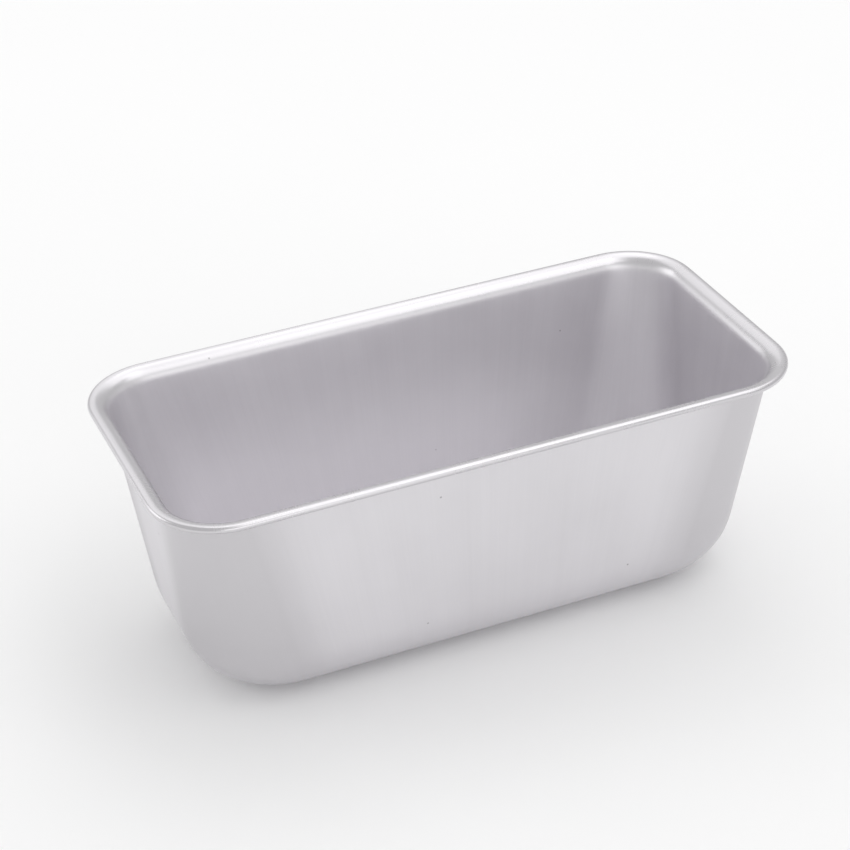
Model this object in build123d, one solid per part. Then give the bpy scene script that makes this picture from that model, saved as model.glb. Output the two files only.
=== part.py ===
from build123d import *
import os
from math import cos, radians, tan

# Loaf pan, drawn in one piece from aluminium sheet, with its rim flared outwards and curled under round a
# closed loop of steel wire.
# Frame: millimetres, origin at the centre of the floor's underside, X along the length, Y across, Z up.

# Overall size, over the curled rim
PAN_LENGTH = 264.0
PAN_WIDTH = 132.0
PAN_HEIGHT = 101.0

# Sheet and wire
SHEET = 0.8
WIRE_DIAMETER = 1.2
WIRE_CLEARANCE = 0.05  # all round the wire, inside the curl

# Walls and floor
WALL_TAPER = 5.4  # degrees from upright, on all four walls
FOOT_CORNER_RADIUS = 38.0  # seen from above, where the walls would meet the table if they ran straight on
FLOOR_RADIUS = 28.5  # outside bend from the walls into the floor

# Rim
RIM_CORNER_RADIUS = 29.0  # seen from above, at the rim's outer edge
FLARE_RADIUS = 6.2  # upper face of the bend from the walls out to the rim
RIM_FLAT = 0.4  # level strip between the bend and the curl
CURL_WRAP = 270.0  # degrees that the sheet turns round the wire, from the rim's top

# Worked out from the sizes above
TAPER = tan(radians(WALL_TAPER))  # a wall's lean for each millimetre of height
SHEET_ACROSS = SHEET / cos(radians(WALL_TAPER))  # the sheet's thickness, measured level through a wall
CURL_RADIUS = WIRE_DIAMETER / 2 + WIRE_CLEARANCE + SHEET  # outside of the curl
FLARE_REACH = FLARE_RADIUS * tan(radians(90 - WALL_TAPER) / 2)  # level run of the bend
MOUTH_INSET = CURL_RADIUS + RIM_FLAT + FLARE_REACH  # rim's edge to the inner wall's line, at the rim's top


def outline(inset, corner, height):
    """Face of a rounded rectangle that lies inside the rim's outer edge by inset."""
    shape = RectangleRounded(PAN_LENGTH - 2 * inset, PAN_WIDTH - 2 * inset, corner)
    return Plane.XY.offset(height) * shape


def wall_outline(skin, height):
    """Outline of the walls at a height. The skin is the depth into the sheet from its outer face."""
    depth = PAN_HEIGHT - height
    across = SHEET_ACROSS * skin / SHEET
    mouth_inset = MOUTH_INSET - SHEET_ACROSS + across
    mouth_corner = RIM_CORNER_RADIUS - mouth_inset
    foot_corner = FOOT_CORNER_RADIUS - across
    corner = mouth_corner + (foot_corner - mouth_corner) * depth / PAN_HEIGHT
    return outline(mouth_inset + depth * TAPER, corner, height)


def edges_at(solid, height, inset):
    """Edges that lie level at a height, all within the rim's outer edge by more than inset."""
    level = solid.edges().filter_by_position(Axis.Z, height - 0.01, height + 0.01)
    half_length = PAN_LENGTH / 2 - inset
    half_width = PAN_WIDTH / 2 - inset
    return level.filter_by(
        lambda edge: max(abs(edge.bounding_box().max.X), abs(edge.bounding_box().min.X)) < half_length
        and max(abs(edge.bounding_box().max.Y), abs(edge.bounding_box().min.Y)) < half_width
    )


def drawn_form(skin):
    """Everything inside one face of the sheet: walls, floor and flare, up to a plate that carries the rim."""
    floor = skin
    plate_floor = PAN_HEIGHT - SHEET + skin
    walls = loft([wall_outline(skin, floor), wall_outline(skin, plate_floor)], ruled=True)
    walls = fillet(edges_at(walls, floor, 0), FLOOR_RADIUS - skin)
    plate = extrude(outline(CURL_RADIUS, RIM_CORNER_RADIUS - CURL_RADIUS, plate_floor), SHEET)
    form = walls + plate
    flare_edges = edges_at(form, plate_floor, CURL_RADIUS + RIM_FLAT)
    return fillet(flare_edges, FLARE_RADIUS - SHEET + skin)


def rim_path():
    """Centre line of the wire, and of the curl around it."""
    return outline(CURL_RADIUS, RIM_CORNER_RADIUS - CURL_RADIUS, PAN_HEIGHT - CURL_RADIUS).face().outer_wire()


def swept_round_rim(section):
    """Solid made by carrying a section round the rim. Its X points outwards, and its Y up."""
    start = Vector(0, CURL_RADIUS - PAN_WIDTH / 2, PAN_HEIGHT - CURL_RADIUS)
    across = Plane(origin=start, x_dir=(0, -1, 0), z_dir=(1, 0, 0))
    return sweep(across * section, path=rim_path())


def curl():
    """The rim's last turn of sheet, from the top of the rim round and under the wire."""
    inside = CURL_RADIUS - SHEET
    outer_arc = CenterArc((0, 0), CURL_RADIUS, 90, -CURL_WRAP)
    inner_arc = CenterArc((0, 0), inside, 90, -CURL_WRAP)
    top = Line(outer_arc @ 0, inner_arc @ 0)
    lip = Line(outer_arc @ 1, inner_arc @ 1)
    return swept_round_rim(make_face([outer_arc, inner_arc, top, lip]))


def pan_body():
    """Floor, walls, flare and curl, all one sheet."""
    return drawn_form(0) - drawn_form(SHEET) + curl()


def rim_wire():
    """Closed loop of round wire in the curl."""
    return swept_round_rim(Circle(WIRE_DIAMETER / 2))


os.makedirs("parts", exist_ok=True)
export_step(pan_body(), "parts/pan_body.step")
export_step(rim_wire(), "parts/rim_wire.step")
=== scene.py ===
from math import cos, pi, radians, sin, tan

import bpy
from mathutils import Matrix, Vector


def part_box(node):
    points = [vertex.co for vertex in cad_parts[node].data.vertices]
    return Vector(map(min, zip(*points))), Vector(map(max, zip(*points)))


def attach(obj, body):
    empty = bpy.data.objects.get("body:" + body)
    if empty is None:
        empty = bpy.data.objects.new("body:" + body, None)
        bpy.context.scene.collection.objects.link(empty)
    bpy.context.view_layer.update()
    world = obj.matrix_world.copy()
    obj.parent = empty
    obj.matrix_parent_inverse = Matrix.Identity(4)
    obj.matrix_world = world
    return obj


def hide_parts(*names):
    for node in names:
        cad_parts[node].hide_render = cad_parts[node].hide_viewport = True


# Looks of the loaf pan: the drawn sheet as one smooth skin, the wire in its rim, a plain floor, the light and
# the camera.
# Metres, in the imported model's frame: X along the pan, Y across it, Z up, with z = 0 under the floor.

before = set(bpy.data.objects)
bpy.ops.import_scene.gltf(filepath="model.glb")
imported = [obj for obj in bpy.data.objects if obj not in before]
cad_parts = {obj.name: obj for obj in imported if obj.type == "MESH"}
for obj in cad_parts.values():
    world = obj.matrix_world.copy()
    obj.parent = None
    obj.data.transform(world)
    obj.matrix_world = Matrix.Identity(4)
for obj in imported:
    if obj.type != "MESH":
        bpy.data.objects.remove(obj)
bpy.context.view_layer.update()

# ---------------------------------------------------------------- sizes of the pan, in metres

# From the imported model
pan_low, pan_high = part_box("pan_body")
LENGTH, WIDTH, HEIGHT = pan_high - pan_low
wire_low, wire_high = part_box("rim_wire")
WIRE_RADIUS = (wire_high.z - wire_low.z) / 2
CURL_RADIUS = pan_high.y - (wire_high.y - WIRE_RADIUS)  # rim's edge to the middle of the wire

# As in the part's source
WIRE_CLEARANCE = 0.00005
SHEET = CURL_RADIUS - WIRE_RADIUS - WIRE_CLEARANCE
WALL_TAPER = radians(5.4)  # from upright, on all four walls
FOOT_CORNER_RADIUS = 0.038  # seen from above, where the walls would meet the table if they ran straight on
FLOOR_RADIUS = 0.0285  # outside bend from the walls into the floor
RIM_CORNER_RADIUS = 0.029  # seen from above, at the rim's outer edge
FLARE_RADIUS = 0.0062  # upper face of the bend from the walls out to the rim
RIM_FLAT = 0.0004  # level strip between the bend and the curl
CURL_WRAP = radians(270)  # turn of the sheet round the wire, from the rim's top

# Worked out from the sizes above
TAPER = tan(WALL_TAPER)  # a wall's lean for each metre of height
SHEET_ACROSS = SHEET / cos(WALL_TAPER)  # the sheet's thickness, measured level through a wall
FLARE_INSET = CURL_RADIUS + RIM_FLAT
FLARE_REACH = FLARE_RADIUS * tan((pi / 2 - WALL_TAPER) / 2)  # level run of the bend
MOUTH_INSET = FLARE_INSET + FLARE_REACH  # rim's edge to the inner wall's line, at the rim's top
CORNER_GAIN = FOOT_CORNER_RADIUS - RIM_CORNER_RADIUS + MOUTH_INSET - SHEET_ACROSS + HEIGHT * TAPER
CORNER_GROWTH = CORNER_GAIN / (HEIGHT - SHEET)  # for each metre of depth, past staying concentric

# ---------------------------------------------------------------- how finely the sheet is divided

CORNER_STEPS = 14
LONG_STEPS = 22
SHORT_STEPS = 9  # odd, so that the middle of each end is a face
FLOOR_RINGS = 3
FLOOR_GRID = 0.5  # of the flat floor's width that a grid fills, inside the rings
BEND_STEPS = 10
WALL_STEPS = 12
FLARE_STEPS = 7
CURL_STEPS = 15

COLUMNS = LONG_STEPS + CORNER_STEPS  # of the floor's grid
ROWS = SHORT_STEPS + CORNER_STEPS
RING_POINTS = 2 * (COLUMNS + ROWS)


def steps(first, last, count):
    """Evenly spaced values from first to last, both included."""
    return [first + (last - first) * i / count for i in range(count + 1)]


# ---------------------------------------------------------------- the sheet's section
# A station is (inset from the rim's outer edge, height, corner radius seen from above).


def station(inset, height, depth=0.0):
    """Corners are concentric with the rim's, and open out with the depth below the top of that face."""
    return inset, height, RIM_CORNER_RADIUS - inset + CORNER_GROWTH * depth


def face_stations(skin):
    """One face of the sheet from the floor's middle to the rim. The skin is 0 outside and 1 inside."""
    floor = skin * SHEET
    top = HEIGHT - (1 - skin) * SHEET
    bend = FLOOR_RADIUS - skin * SHEET
    flare = FLARE_RADIUS - (1 - skin) * SHEET
    wall_inset = MOUTH_INSET - (1 - skin) * SHEET_ACROSS
    bend_inset = wall_inset + (HEIGHT - FLOOR_RADIUS) * TAPER + bend / cos(WALL_TAPER)
    flare_height = HEIGHT - FLARE_RADIUS
    floor_half_width = WIDTH / 2 - bend_inset
    floor_corner = station(bend_inset, floor, top - floor)[2]

    path = []
    for share in steps(FLOOR_GRID, 1, FLOOR_RINGS)[:-1]:
        path.append((WIDTH / 2 - floor_half_width * share, floor, floor_corner * share))
    for angle in steps(0, pi / 2 - WALL_TAPER, BEND_STEPS):
        height = FLOOR_RADIUS - bend * cos(angle)
        path.append(station(bend_inset - bend * sin(angle), height, top - height))
    wall_foot = FLOOR_RADIUS - bend * sin(WALL_TAPER)
    wall_head = flare_height + flare * sin(WALL_TAPER)
    for height in steps(wall_foot, wall_head, WALL_STEPS)[1:-1]:
        path.append(station(wall_inset + (HEIGHT - height) * TAPER, height, top - height))
    for angle in steps(WALL_TAPER, pi / 2, FLARE_STEPS):
        height = flare_height + flare * sin(angle)
        path.append(station(FLARE_INSET + flare * cos(angle), height, top - height))
    return path


def curl_stations(radius):
    """One face of the sheet round the wire, from the rim's top to the lip."""
    middle = HEIGHT - CURL_RADIUS
    return [
        station(CURL_RADIUS - radius * sin(turn), middle + radius * cos(turn))
        for turn in steps(0, CURL_WRAP, CURL_STEPS)
    ]


def sheet_stations():
    """The whole section, from the middle of the floor inside to the middle of the floor outside."""
    inside = face_stations(1) + curl_stations(CURL_RADIUS)
    outside = curl_stations(CURL_RADIUS - SHEET)[::-1] + face_stations(0)[::-1]
    return inside + outside


# ---------------------------------------------------------------- the sheet's skin


def ring(inset, corner):
    """Points of a rounded rectangle seen from above, anticlockwise from the front of the +X end's flat."""
    half_length = LENGTH / 2 - inset
    half_width = WIDTH / 2 - inset
    across = half_width - corner
    along = half_length - corner
    turn = [(corner * cos(a), corner * sin(a)) for a in steps(0, pi / 2, CORNER_STEPS)]
    points = []
    points += [(half_length, y) for y in steps(-across, across, SHORT_STEPS)[:-1]]
    points += [(along + x, across + y) for x, y in turn[:-1]]
    points += [(x, half_width) for x in steps(along, -along, LONG_STEPS)[:-1]]
    points += [(-along - y, across + x) for x, y in turn[:-1]]
    points += [(-half_length, y) for y in steps(across, -across, SHORT_STEPS)[:-1]]
    points += [(-along - x, -across - y) for x, y in turn[:-1]]
    points += [(x, -half_width) for x in steps(-along, along, LONG_STEPS)[:-1]]
    points += [(along + y, -across - x) for x, y in turn[:-1]]
    return points


def grid_rims():
    """Places in a ring of the four rims of a grid that fills it. They meet in the middles of the corners."""
    first = RING_POINTS - CORNER_STEPS // 2 - COLUMNS
    front = [(first + i) % RING_POINTS for i in range(COLUMNS + 1)]
    back = [(first + 2 * COLUMNS + ROWS - i) % RING_POINTS for i in range(COLUMNS + 1)]
    left = [(first - j) % RING_POINTS for j in range(ROWS + 1)]
    right = [(first + COLUMNS + j) % RING_POINTS for j in range(ROWS + 1)]
    return front, back, left, right


def grid_values(ring_values):
    """Values for the points inside the grid, row by row, blended from those on the ring."""
    front, back, left, right = [[ring_values[k] for k in rim] for rim in grid_rims()]
    values = []
    for j in range(1, ROWS):
        v = j / ROWS
        for i in range(1, COLUMNS):
            u = i / COLUMNS
            along = front[i] * (1 - v) + back[i] * v
            across = left[j] * (1 - u) + right[j] * u
            near = front[0] * (1 - u) + front[-1] * u
            far = back[0] * (1 - u) + back[-1] * u
            values.append(along + across - near * (1 - v) - far * v)
    return values


def grid_faces(ring_start, inner_start, flip):
    """Quads of the grid, from where its ring's points and its inner points start in the mesh."""
    front, back, left, right = grid_rims()

    def place(i, j):
        if 0 < i < COLUMNS and 0 < j < ROWS:
            return inner_start + (j - 1) * (COLUMNS - 1) + i - 1
        if j == 0:
            return ring_start + front[i]
        if j == ROWS:
            return ring_start + back[i]
        return ring_start + (left[j] if i == 0 else right[j])

    faces = []
    for j in range(ROWS):
        for i in range(COLUMNS):
            face = place(i, j), place(i + 1, j), place(i + 1, j + 1), place(i, j + 1)
            faces.append(face[::-1] if flip else face)
    return faces


def new_mesh(name, points, faces):
    """A smooth shaded object in the scene."""
    mesh = bpy.data.meshes.new(name)
    mesh.from_pydata(points, [], faces)
    mesh.validate()
    mesh.update()
    mesh.shade_smooth()
    piece = bpy.data.objects.new(name, mesh)
    bpy.context.scene.collection.objects.link(piece)
    return piece


def rim_circle():
    """A circle as long as the rim: its radius, and the turn to each of a ring's points."""
    rim = [Vector(point) for point in ring(0, RIM_CORNER_RADIUS)]
    lengths = [(rim[(i + 1) % RING_POINTS] - rim[i]).length for i in range(RING_POINTS)]
    round_rim = sum(lengths)
    turns = [2 * pi * sum(lengths[:i]) / round_rim for i in range(RING_POINTS)]
    return round_rim / (2 * pi), turns


# Painted shade on the outside of the sheet, standing in for the dimmer light on the outer walls and round
# their corners: the share of the way to the shaded colour.
SHADE_ON_FLATS = 0.3  # on the outside, away from the corners
SHADE_FADE = [1.0, 0.7, 0.4]  # from a corner's end, out along the flat


def shade_along_flat(count):
    """Painted shade at the points of one flat of a ring, from one corner's end to just before the next."""
    middle = [SHADE_ON_FLATS] * (count + 1 - 2 * len(SHADE_FADE))
    return SHADE_FADE + middle + SHADE_FADE[:0:-1]


def shade_shares():
    """For each point of a ring, how much painted shade the outside gets: most round the corners."""
    corner = [1.0] * CORNER_STEPS
    return (shade_along_flat(SHORT_STEPS) + corner + shade_along_flat(LONG_STEPS) + corner) * 2


def pan_mesh():
    """The sheet as one closed skin.

    Its 'drawn' attribute runs round the pan as a circle, and down the sheet as z. Its other attribute is
    painted
    shade: 0 inside, and up to 1 on the outside, most round the corners, where the sheet is painted greyer.
    """
    stations = sheet_stations()
    radius, turns = rim_circle()
    lip = len(stations) // 2  # the outside's first row
    points = []
    drawn = []
    painted_shade = []
    run = 0.0
    last_inset, last_height = stations[0][:2]
    for row, (inset, height, corner) in enumerate(stations):
        run += ((inset - last_inset) ** 2 + (height - last_height) ** 2) ** 0.5
        last_inset, last_height = inset, height
        points += [Vector((x, y, height)) for x, y in ring(inset, corner)]
        drawn += [Vector((radius * cos(turn), radius * sin(turn), run)) for turn in turns]
        # Round the corners, the extra painted shade fades in up the bend from the floor.
        up_the_bend = min(height / FLOOR_RADIUS, 1.0)
        for share in shade_shares():
            painted_shade.append(SHADE_ON_FLATS + (share - SHADE_ON_FLATS) * up_the_bend if row > lip else 0.0)

    faces = []
    last_row = len(stations) - 1
    for row in range(last_row):
        for i in range(RING_POINTS):
            a = row * RING_POINTS + i
            b = row * RING_POINTS + (i + 1) % RING_POINTS
            faces.append((a, a + RING_POINTS, b + RING_POINTS, b))
    for ring_start, flip in ((0, False), (last_row * RING_POINTS, True)):
        faces += grid_faces(ring_start, len(points), flip)
        ring_end = ring_start + RING_POINTS
        inner = grid_values(points[ring_start:ring_end])
        points += inner
        drawn += grid_values(drawn[ring_start:ring_end])
        painted_shade += [SHADE_ON_FLATS if flip else 0.0] * len(inner)

    pan = new_mesh("pan", points, faces)
    attribute = pan.data.attributes.new("drawn", "FLOAT_VECTOR", "POINT")
    attribute.data.foreach_set("vector", [v for point in drawn for v in point])
    pan.data.attributes.new("painted_shade", "FLOAT", "POINT").data.foreach_set("value", painted_shade)
    smooth = pan.modifiers.new("smooth", "SUBSURF")
    smooth.levels = smooth.render_levels = 1
    return pan


# ---------------------------------------------------------------- materials

NOISE_LOW = 0.3  # nearly all of a noise lies between these
NOISE_HIGH = 0.7


class Nodes:
    """A new material's node tree, with its shader."""

    def __init__(self, name):
        self.material = bpy.data.materials.new(name)
        self.material.use_nodes = True
        self.tree = self.material.node_tree
        self.shader = self.tree.nodes["Principled BSDF"]

    def add(self, kind, **values):
        """A new node. Each value goes to its setting of that name, or else to its input of that name."""
        node = self.tree.nodes.new(kind)
        for name, value in values.items():
            if hasattr(node, name):
                setattr(node, name, value)
            else:
                node.inputs[name.replace("_", " ")].default_value = value
        return node

    def join(self, value, socket):
        """Feeds a socket with another node's output, or with a plain number or colour."""
        if isinstance(value, bpy.types.NodeSocket):
            self.tree.links.new(value, socket)
        else:
            socket.default_value = value

    def place(self):
        """Metres in the pan's own frame."""
        return self.add("ShaderNodeTexCoord").outputs["Object"]

    def attribute(self, name, output):
        return self.add("ShaderNodeAttribute", attribute_name=name).outputs[output]

    def stretched(self, source, scale):
        """The source's coordinates, scaled differently on each axis."""
        mapping = self.add("ShaderNodeMapping", Scale=scale)
        self.join(source, mapping.inputs["Vector"])
        return mapping.outputs["Vector"]

    def noise(self, vector, scale=1.0, detail=3.0):
        noise = self.add("ShaderNodeTexNoise", Scale=scale, Detail=detail)
        self.join(vector, noise.inputs["Vector"])
        return noise.outputs["Fac"]

    def fit(self, value, low, high, first, last, smooth=False):
        """The value, taken from low..high to first..last."""
        ranged = self.add("ShaderNodeMapRange", From_Min=low, From_Max=high, To_Min=first, To_Max=last)
        ranged.interpolation_type = "SMOOTHSTEP" if smooth else "LINEAR"
        self.join(value, ranged.inputs["Value"])
        return ranged.outputs["Result"]

    def spread(self, noise, first, last):
        """A noise, taken from its usual range to first..last."""
        return self.fit(noise, NOISE_LOW, NOISE_HIGH, first, last)

    def mix(self, factor, a, b):
        """Colour a, taken towards b by the factor."""
        node = self.add("ShaderNodeMix", data_type="RGBA")
        self.join(factor, node.inputs["Factor"])
        for name, colour in (("A", a), ("B", b)):
            self.join(colour, next(s for s in node.inputs if s.name == name and s.type == "RGBA"))
        return next(s for s in node.outputs if s.type == "RGBA")

    def maths(self, operation, a, b):
        node = self.add("ShaderNodeMath", operation=operation)
        for socket, value in zip(node.inputs, (a, b)):
            self.join(value, socket)
        return node.outputs[0]

    def bump(self, height, distance):
        bump = self.add("ShaderNodeBump", Strength=1.0, Distance=distance)
        self.join(height, bump.inputs["Height"])
        return bump.outputs["Normal"]

    def shaded(self, **values):
        """The material, with these values on its shader's inputs."""
        for name, value in values.items():
            self.join(value, self.shader.inputs[name.replace("_", " ")])
        return self.material


# Noise cells for each metre
FINE_MARKS = (1100, 1100, 14)  # on both axes of the circle round the pan, and down the sheet
BROAD_MARKS = (130, 130, 4)
CLOUDS = 28.0
PITS = 60.0

SATIN_ROUGHNESS = 0.44
RIM_ROUGHNESS = 0.28
UNEVEN_ROUGHNESS = 0.03  # from the marks, and again from the clouds
BURNISHED = 0.0022  # depth of the rim that the curling rolls left smoother
BURNISH_FADE = 0.0045  # depth at which the satin of the walls is back
UNEVEN_TONE = 0.2  # either side of the middle tone, from the marks, and again from the clouds
MARK_HEIGHT = 0.000006

DULL_SHEET = (0.765, 0.75, 0.775, 1)
PALE_SHEET = (0.855, 0.84, 0.865, 1)
# Painted shade: the sheet's outside is taken towards this greyer colour, most round its corners, and the rim
# nearly as much, to dim the light on it.
PAINTED_SHADE_COLOUR = (0.52, 0.508, 0.525, 1)
PAINTED_SHADE_MOST = 0.6  # of the way to the painted shade colour, where the most shade is painted
PAINTED_SHADE_RIM = 0.85  # as a share of that
PIT_COLOUR = (0.30, 0.29, 0.30, 1)
PIT_CORE = 0.014  # radius of a pit's dark middle, in cells
PIT_EDGE = 0.034
PIT_DARKEST = 0.7  # of the way to the pit's colour


def drawn_aluminium():
    """Satin sheet with draw marks up the walls, clouding and small pits, and painted shade: greyer outside,
    most of all at the corners.
    The rim is smoother, and painted greyer too, to dim the light on it.
    """
    n = Nodes("drawn_aluminium")
    place = n.place()
    drawn = n.attribute("drawn", "Vector")
    fine = n.noise(n.stretched(drawn, FINE_MARKS))
    broad = n.noise(n.stretched(drawn, BROAD_MARKS), detail=2.0)
    cloud = n.noise(place, CLOUDS)
    marks = n.maths("ADD", n.spread(fine, -0.5, 0.5), n.spread(broad, -0.5, 0.5))  # -1 to 1

    height = n.add("ShaderNodeSeparateXYZ")
    n.join(place, height.inputs[0])
    rim = n.fit(height.outputs["Z"], HEIGHT - BURNISH_FADE, HEIGHT - BURNISHED, 0.0, 1.0, smooth=True)
    satin = n.fit(rim, 0.0, 1.0, SATIN_ROUGHNESS, RIM_ROUGHNESS)
    roughness = n.maths("ADD", satin, n.maths("MULTIPLY", marks, UNEVEN_ROUGHNESS))
    roughness = n.maths("ADD", roughness, n.spread(cloud, -UNEVEN_ROUGHNESS, UNEVEN_ROUGHNESS))

    marks_tone = n.fit(marks, -1, 1, 0.5 - UNEVEN_TONE, 0.5 + UNEVEN_TONE)
    tone = n.maths("ADD", marks_tone, n.spread(cloud, -UNEVEN_TONE, UNEVEN_TONE))
    sheet = n.mix(tone, DULL_SHEET, PALE_SHEET)
    # Painted shade: greyer outside, most round the corners, and greyer on the rim.
    shade_share = n.maths("MAXIMUM", n.attribute("painted_shade", "Fac"), n.maths("MULTIPLY", rim, PAINTED_SHADE_RIM))
    sheet = n.mix(n.maths("MULTIPLY", shade_share, PAINTED_SHADE_MOST), sheet, PAINTED_SHADE_COLOUR)
    pits = n.add("ShaderNodeTexVoronoi", Scale=PITS)
    n.join(place, pits.inputs["Vector"])
    pitted = n.fit(pits.outputs["Distance"], PIT_CORE, PIT_EDGE, PIT_DARKEST, 0.0)
    sheet = n.mix(pitted, sheet, PIT_COLOUR)

    return n.shaded(Base_Color=sheet, Metallic=1.0, Roughness=roughness, Normal=n.bump(fine, MARK_HEIGHT))


TIN_MOTTLE = 900.0  # noise cells for each metre
TIN_SMOOTHEST = 0.28
TIN_ROUGHEST = 0.42
TIN_DARK = (0.50, 0.51, 0.52, 1)
TIN_PALE = (0.62, 0.63, 0.64, 1)
TIN_HEIGHT = 0.00001


def tinned_wire():
    """Drawn steel wire under a mottled tin coat."""
    n = Nodes("tinned_wire")
    mottle = n.noise(n.place(), TIN_MOTTLE)
    colour = n.mix(mottle, TIN_DARK, TIN_PALE)
    roughness = n.spread(mottle, TIN_SMOOTHEST, TIN_ROUGHEST)
    return n.shaded(Base_Color=colour, Metallic=1.0, Roughness=roughness, Normal=n.bump(mottle, TIN_HEIGHT))


BOARD_CLOUDS = 3.0  # noise cells for each metre
BOARD_DARK = (0.96, 0.96, 0.96, 1)
BOARD_PALE = (0.98, 0.98, 0.98, 1)
BOARD_ROUGHNESS = 0.9
BOARD_SHINE = 0.1


def studio_floor():
    """Plain white board with a trace of tone."""
    n = Nodes("studio_floor")
    colour = n.mix(n.noise(n.place(), BOARD_CLOUDS, detail=2.0), BOARD_DARK, BOARD_PALE)
    return n.shaded(Base_Color=colour, Roughness=BOARD_ROUGHNESS, Specular_IOR_Level=BOARD_SHINE)


# ---------------------------------------------------------------- pieces

pan = pan_mesh()
pan.data.materials.append(drawn_aluminium())
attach(pan, "root")
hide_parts("pan_body")

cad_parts["rim_wire"].material_slots[0].material = tinned_wire()

# ---------------------------------------------------------------- floor

FLOOR_SIZE = 8.0
FLOOR_DROP = 0.0002  # keeps the board clear of the pan's underside

half = FLOOR_SIZE / 2
board_corners = [(x, y, -FLOOR_DROP) for x, y in ((-half, -half), (half, -half), (half, half), (-half, half))]
floor = new_mesh("studio_floor", board_corners, [(0, 1, 2, 3)])
floor.data.materials.append(studio_floor())

# ---------------------------------------------------------------- light

WORLD_STRENGTH = 0.68
LIGHT_DISTANCE = 2.2
LIGHT_AIM = Vector((0, 0, 0.06))

world = bpy.data.worlds.new("studio")
world.use_nodes = True
background = world.node_tree.nodes["Background"]
background.inputs["Color"].default_value = (1, 1, 1, 1)
background.inputs["Strength"].default_value = WORLD_STRENGTH
bpy.context.scene.world = world


def direction(round_z, elevation):
    """From the pan to a light or the camera. The angles are in radians, the first one from -Y towards +X."""
    return Vector((sin(round_z) * cos(elevation), -cos(round_z) * cos(elevation), sin(elevation)))


def softbox(name, round_z, elevation, size, radiance):
    """A square area light aimed at the pan. The angles are in degrees."""
    away = direction(radians(round_z), radians(elevation))
    light = bpy.data.lights.new(name, "AREA")
    light.shape = "SQUARE"
    light.size = size
    light.energy = radiance * pi * size * size
    lamp = bpy.data.objects.new(name, light)
    lamp.location = LIGHT_AIM + away * LIGHT_DISTANCE
    lamp.rotation_euler = away.to_track_quat("Z", "Y").to_euler()
    bpy.context.scene.collection.objects.link(lamp)


softbox("front_softbox", round_z=0, elevation=12, size=1.6, radiance=0.8)
softbox("high_front_softbox", round_z=38, elevation=57, size=1.5, radiance=0.9)
softbox("high_back_softbox", round_z=125, elevation=65, size=1.8, radiance=0.8)
softbox("back_softbox", round_z=180, elevation=45, size=1.6, radiance=0.5)
softbox("left_softbox", round_z=235, elevation=20, size=1.4, radiance=0.9)

# ---------------------------------------------------------------- camera

VIEW_AZIMUTH = radians(-21.48)
VIEW_ELEVATION = radians(31.13)
VIEW_ROLL = radians(-2.89)
VIEW_DISTANCE = 0.9589
VIEW_HEIGHT = 0.0396  # of a point on the upright line through the pan's middle
VIEW_ASIDE = -0.00795  # from that point to what the camera aims at, rightwards in the picture
VIEW_RAISED = 0.03329  # and upwards in the picture
LENS = 99.6
SENSOR_WIDTH = 36.0

back = direction(VIEW_AZIMUTH, VIEW_ELEVATION)
level = Vector((cos(VIEW_AZIMUTH), sin(VIEW_AZIMUTH), 0))
upright = back.cross(level)
right = level * cos(VIEW_ROLL) + upright * sin(VIEW_ROLL)
up = upright * cos(VIEW_ROLL) - level * sin(VIEW_ROLL)
aim = Vector((0, 0, VIEW_HEIGHT)) + right * VIEW_ASIDE + up * VIEW_RAISED

camera_data = bpy.data.cameras.new("camera")
camera_data.lens = LENS
camera_data.sensor_width = SENSOR_WIDTH
camera = bpy.data.objects.new("camera", camera_data)
turned = Matrix((right, up, back)).transposed().to_4x4()
camera.matrix_world = Matrix.Translation(aim + back * VIEW_DISTANCE) @ turned
bpy.context.scene.collection.objects.link(camera)
bpy.context.scene.camera = camera
bpy.context.scene.view_settings.view_transform = "Standard"
